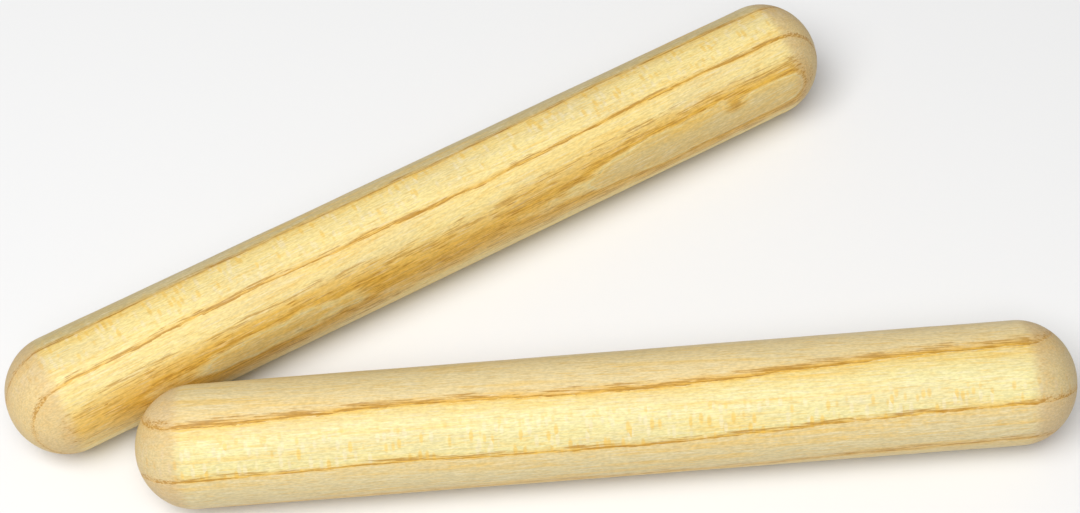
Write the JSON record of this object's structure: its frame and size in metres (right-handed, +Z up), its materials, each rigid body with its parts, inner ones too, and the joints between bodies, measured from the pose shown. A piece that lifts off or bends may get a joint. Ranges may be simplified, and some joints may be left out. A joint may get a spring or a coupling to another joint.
{
  "type": "claves",
  "caption": "Solid turned wooden sticks with domed ends that are struck together to sound a dry click, lying at a shallow angle on a flat surface.",
  "frame": {"origin": "on the surface that the sticks lie on, under the middle of the pair's bounding box", "axes": "+Z up from the surface, +X along the striking clave towards the open end of the pair, +Y from the striking clave towards the held clave"},
  "size_m": [0.2154, 0.1154, 0.025],
  "materials": {
    "lacquered_wood": "pale yellow wood with fine straight grain under a clear satin lacquer"
  },
  "bodies": {
    "held_clave": {"held_clave": "lacquered_wood"},
    "striking_clave": {"striking_clave": "lacquered_wood"}
  },
  "joints": [
    {"name": "lift_off", "type": "slide", "parent": "held_clave", "child": "striking_clave", "axis": [0, 0, 1], "range_m": [0, 0.12]}
  ]
}
